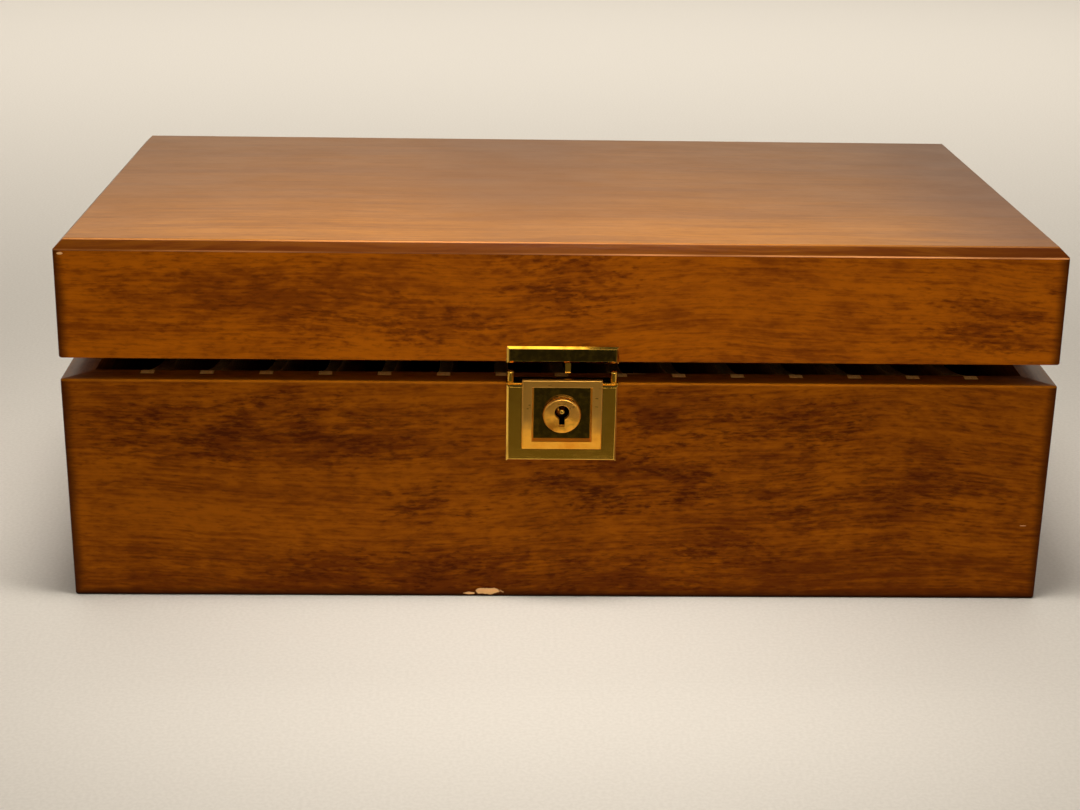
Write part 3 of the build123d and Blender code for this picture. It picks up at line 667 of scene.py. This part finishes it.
def lay_linings():
    """The floor lining, the felt underneath and the padded velvet inside the lid."""
    pile = velvet("lining_velvet", *BROWN_PILE, FINE_NAP)
    low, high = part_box("base_lining")
    lining = soft_slab("floor_lining", low, high, 1, 1.2 * MM, 2.5 * MM, ripple=0.12 * MM)
    lining.data.materials.append(pile)
    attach(lining, "base")
    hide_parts("base_lining")

    low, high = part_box("base_felt")
    felt = soft_slab("underside_felt", low, high, -1, 0.8 * MM, 3.0 * MM)
    felt.data.materials.append(velvet("underside_felt", *GREEN_PILE, FELT_NAP))
    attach(felt, "base")
    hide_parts("base_felt")

    # The pad is shaped as if the lid were shut, then turned with it
    points = [vertex.co - AXIS_POINT for vertex in nodes["lid_lining"].data.vertices]
    corners = [CLOSE_TURN @ point + AXIS_POINT for point in points]
    low = Vector([min(corner[axis] for corner in corners) for axis in range(3)])
    high = Vector([max(corner[axis] for corner in corners) for axis in range(3)])
    pad = soft_slab("lid_pad", low, high, -1, 4.0 * MM, 2.5 * MM, 1.6 * MM, 0.35 * MM)
    to_axis = Matrix.Translation(-AXIS_POINT)
    pad.data.transform(Matrix.Translation(AXIS_POINT) @ OPEN_TURN.to_4x4() @ to_axis)
    pad.data.materials.append(pile)
    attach(pad, "lid")
    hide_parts("lid_lining")


# ---- which node gets which material --------------------------------------------------------------

# The blocks whose arrises are darkened; their open ends lie beyond the seam and under the top
BEYOND = 30 * MM
BASE_BLOCK = ((-HALF_WIDTH, -HALF_DEPTH, 0), (HALF_WIDTH, HALF_DEPTH, RIM_Z + BEYOND))
LID_BLOCK = (
    (-HALF_WIDTH, -HALF_DEPTH, LID_BOTTOM_Z - BEYOND),
    (HALF_WIDTH, HALF_DEPTH, LID_TOP_Z + BEYOND),
)

# Each side's grain, and how far its noise is shifted so that no two boards look the same
SIDES = (
    ("front", FRONT_GRAIN, 0.0),
    ("back", FRONT_GRAIN, 0.37),
    ("left", SIDE_GRAIN, 0.74),
    ("right", SIDE_GRAIN, 1.11),
)
LID_SHIFT = 1.9
TOP_SHIFT = 4.1

# How wide the rounded arrises are, and where a corner is sharp enough to have one
TOP_ARRIS = 0.35 * MM
DIVIDER_ARRIS = 0.2 * MM
LOCK_ARRISES = {
    "lock_front_plate": 0.3 * MM,
    "lock_bezel": 0.5 * MM,
    "lock_boss": 0.6 * MM,
    "strike_plate": 0.2 * MM,
    "lock_drill_pin": 0.2 * MM,
    "lock_guide_pins": 0.2 * MM,
}
MERGE_GAP = 0.0001 * MM
FLAT_ANGLE = math.radians(1)
SHARP_ANGLE = math.radians(28)


def paint(name, material):
    nodes[name].material_slots[0].material = material


def soften(name, width, segments):
    """Rounds a node's sharp arrises a little, so that they catch the light."""
    weld = nodes[name].modifiers.new("join_faces", "WELD")
    weld.merge_threshold = MERGE_GAP
    flatten = nodes[name].modifiers.new("whole_faces", "DECIMATE")
    flatten.decimate_type = "DISSOLVE"
    flatten.angle_limit = FLAT_ANGLE
    arris = nodes[name].modifiers.new("arris", "BEVEL")
    arris.width = width
    arris.segments = segments
    arris.limit_method = "ANGLE"
    arris.angle_limit = SHARP_ANGLE
    arris.harden_normals = True


def paint_wood():
    """A material of its own for each wall, rail and the top; one for all dividers."""
    for side, grain, shift in SIDES:
        base = {"box": BASE_BLOCK, "shift": shift}
        lid = {"box": LID_BLOCK, "shift": LID_SHIFT + shift, "lid": True}
        if side == "front":
            base |= {"figure": BASE_FIGURE, "wear": BASE_WEAR}
            lid |= {"figure": LID_FIGURE, "wear": LID_WEAR}
        paint(f"base_{side}_wall", mahogany(f"mahogany_base_{side}", BASE_STAIN, grain, **base))
        paint(f"lid_{side}_rail", mahogany(f"mahogany_lid_{side}", LID_STAIN_AND_LIGHT, grain, **lid))
    paint("lid_top_panel", mahogany_top(TOP_SHIFT))
    soften("lid_top_panel", TOP_ARRIS, 3)
    raw = divider_wood()
    for name in nodes:
        if name.startswith("divider_"):
            paint(name, raw)
            soften(name, DIVIDER_ARRIS, 3)
    paint("base_bottom_panel", panel_wood())


def paint_metal():
    """Brass for the hinges, the lock and the strike, placed from the bezel and the strike."""
    low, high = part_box("lock_bezel")
    middle = (low + high) / 2
    recess = (middle.x, middle.z, BEZEL_OPENING[0] / 2, BEZEL_OPENING[1] / 2)
    face_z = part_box("strike_plate")[1].z - STRIKE_HEIGHT / 2
    face = (middle.x, face_z, STRIKE_FACE[0] / 2, STRIKE_FACE[1] / 2)
    # The bands below which the bezel and the boss carry their painted highlight
    bezel_lit_band = (low.z + 2 * MM, low.z + 12 * MM)
    boss_lit_band = (middle.z - 3 * MM, middle.z + 5 * MM)
    mirror = polished_brass("polished_brass", *GOLD, *MIRROR_ROUGHNESS)
    plate = polished_brass("plate_brass", *GOLD, *MIRROR_ROUGHNESS, recess)
    strike = polished_brass("strike_brass", *GOLD, *STRIKE_ROUGHNESS, face)
    hinge = polished_brass("hinge_brass", *HINGE_GOLD, *HINGE_ROUGHNESS)
    by_name = {
        "lock_front_plate": plate,
        "lock_bezel": satin_brass("satin_brass", *BEZEL_GOLD, *BEZEL_ROUGHNESS, bezel_lit_band, recess),
        "lock_boss": satin_brass("boss_brass", *BOSS_GOLD, *BOSS_ROUGHNESS, boss_lit_band),
        "lock_spring": spring_steel(),
        "strike_plate": strike,
    }
    for name in nodes:
        if name.startswith("hinge_"):
            paint(name, hinge)
        elif name.startswith(("lock_", "strike_")):
            paint(name, by_name.get(name, mirror))
    for name, width in LOCK_ARRISES.items():
        soften(name, width, 4)


# ---- floor, light and camera ---------------------------------------------------------------------

WARM = (1.0, 0.93, 0.81)
GILT = (1.0, 0.80, 0.38)

# The world's tones from straight down (0) over the horizon (0.5) to straight up (1)
SKY = (
    (0.0, rgb(0.030, 0.024, 0.012)),
    (0.485, rgb(0.035, 0.028, 0.014)),
    (0.515, rgb(0.66, 0.59, 0.48)),
    (0.66, rgb(0.66, 0.59, 0.48)),
    (0.80, rgb(0.10, 0.09, 0.075)),
    (1.0, rgb(0.09, 0.082, 0.070)),
)
SKY_STRENGTH = 0.8

# Each lamp: place, target, size, power in watts, colour, spread in degrees, seen in mirrors or not
LAMPS = {
    "key": ((-0.02, -0.10, 0.56), (-0.015, -0.085, 0.10), (0.24, 0.08), 0.48, WARM, 62, False),
    "ceiling": ((0, 0, 2.2), (0, 0, 0), (1.8, 1.8), 12.0, WARM, 180, False),
    "backlight": ((0, 0.95, 1.3), (0, 0.88, 0), (2.2, 0.9), 11.0, WARM, 90, False),
    "fill": ((0.15, -1.3, 0.22), (0, 0, 0.06), (0.5, 0.3), 2.9, WARM, 180, True),
    "glint": ((0, -0.225, 0.62), (0, -0.09, 0.08), (0.07, 0.016), 0.008, GILT, 180, True),
    "edge": ((-0.08, 0.06, 0.66), (0, -0.08, 0.10), (0.42, 0.015), 0.14, WARM, 180, True),
}

FLOOR_SIZE = 6.0
FLOOR_TONES = (rgb(0.54, 0.52, 0.50), rgb(0.58, 0.56, 0.54))
CARD_TONES = (rgb(0.045, 0.040, 0.016), rgb(0.085, 0.072, 0.026))
CARD_PLACE = (0, -0.52, 2 * MM)
CARD_SIZE = (0.30, 0.66)


def lay_floor():
    """A pale paper floor, and a dark card in front of the box that shows only in reflections."""
    bpy.ops.mesh.primitive_plane_add(size=FLOOR_SIZE, location=(0, 0, 0))
    floor = bpy.context.object
    floor.name = "floor"
    s = Shader("floor_paper")
    tooth = s.noise(s.place(), 900.0, detail=3.0)
    body = s.mix(s.ramp(tooth, 0.3, 0.7), *FLOOR_TONES)
    s.set(Base_Color=body, Roughness=0.9)
    floor.data.materials.append(s.material)

    bpy.ops.mesh.primitive_plane_add(size=1.0, location=CARD_PLACE)
    card = bpy.context.object
    card.name = "shade_card"
    card.scale = (*CARD_SIZE, 1)
    s = Shader("shade_card")
    body = s.mix(s.noise(s.place(), 8.0), *CARD_TONES)
    s.set(Base_Color=body, Roughness=0.9)
    card.data.materials.append(s.material)
    card.visible_camera = False
    card.visible_diffuse = False
    card.visible_shadow = False


def area_light(name, place, target, size, power, colour, spread, mirrored):
    data = bpy.data.lights.new(name, "AREA")
    data.spread = math.radians(spread)
    data.shape = "RECTANGLE"
    data.size, data.size_y = size
    data.energy = power
    data.color = colour
    light = bpy.data.objects.new(name, data)
    light.location = place
    light.visible_glossy = mirrored
    light.rotation_euler = (Vector(target) - Vector(place)).to_track_quat("-Z", "Y").to_euler()
    bpy.context.scene.collection.objects.link(light)


def light_sky():
    """A pale band round the horizon, a dim zenith and a dark ground."""
    world = bpy.data.worlds.new("studio")
    bpy.context.scene.world = world
    world.use_nodes = True
    tree = world.node_tree
    direction = tree.nodes.new("ShaderNodeTexCoord")
    axes = tree.nodes.new("ShaderNodeSeparateXYZ")
    half_up = tree.nodes.new("ShaderNodeMath")
    half_up.operation = "MULTIPLY_ADD"
    half_up.inputs[1].default_value = 0.5
    half_up.inputs[2].default_value = 0.5
    ramp = tree.nodes.new("ShaderNodeValToRGB")
    stops = ramp.color_ramp.elements
    stops[0].position, stops[0].color = SKY[0]
    stops[1].position, stops[1].color = SKY[-1]
    for place, colour in SKY[1:-1]:
        stops.new(place).color = colour
    background = tree.nodes["Background"]
    background.inputs["Strength"].default_value = SKY_STRENGTH
    tree.links.new(direction.outputs["Generated"], axes.inputs[0])
    tree.links.new(axes.outputs[2], half_up.inputs[0])
    tree.links.new(half_up.outputs[0], ramp.inputs[0])
    tree.links.new(ramp.outputs[0], background.inputs["Color"])


def light_scene():
    """The sky and six soft lamps; fill, glint and edge also show in the lacquer and the brass."""
    light_sky()
    for name, settings in LAMPS.items():
        area_light(name, *settings)
    bpy.context.scene.view_settings.view_transform = "Standard"


def place_camera():
    """A camera turned by its yaw, pitch and roll from looking level along Y."""
    forward = Vector((
        math.sin(CAMERA_YAW) * math.cos(CAMERA_PITCH),
        math.cos(CAMERA_YAW) * math.cos(CAMERA_PITCH),
        -math.sin(CAMERA_PITCH),
    ))
    level = Vector((math.cos(CAMERA_YAW), -math.sin(CAMERA_YAW), 0))
    upright = level.cross(forward)
    right = math.cos(CAMERA_ROLL) * level + math.sin(CAMERA_ROLL) * upright
    up = math.cos(CAMERA_ROLL) * upright - math.sin(CAMERA_ROLL) * level
    turn = Matrix((right, up, -forward)).transposed()
    data = bpy.data.cameras.new("camera")
    data.lens = CAMERA_LENS
    data.sensor_width = CAMERA_SENSOR
    data.clip_start = CAMERA_NEAR
    camera = bpy.data.objects.new("camera", data)
    camera.matrix_world = Matrix.Translation(CAMERA_PLACE) @ turn.to_4x4()
    bpy.context.scene.collection.objects.link(camera)
    bpy.context.scene.camera = camera


place_camera()
light_scene()
lay_floor()
paint_wood()
paint_metal()
lay_linings()
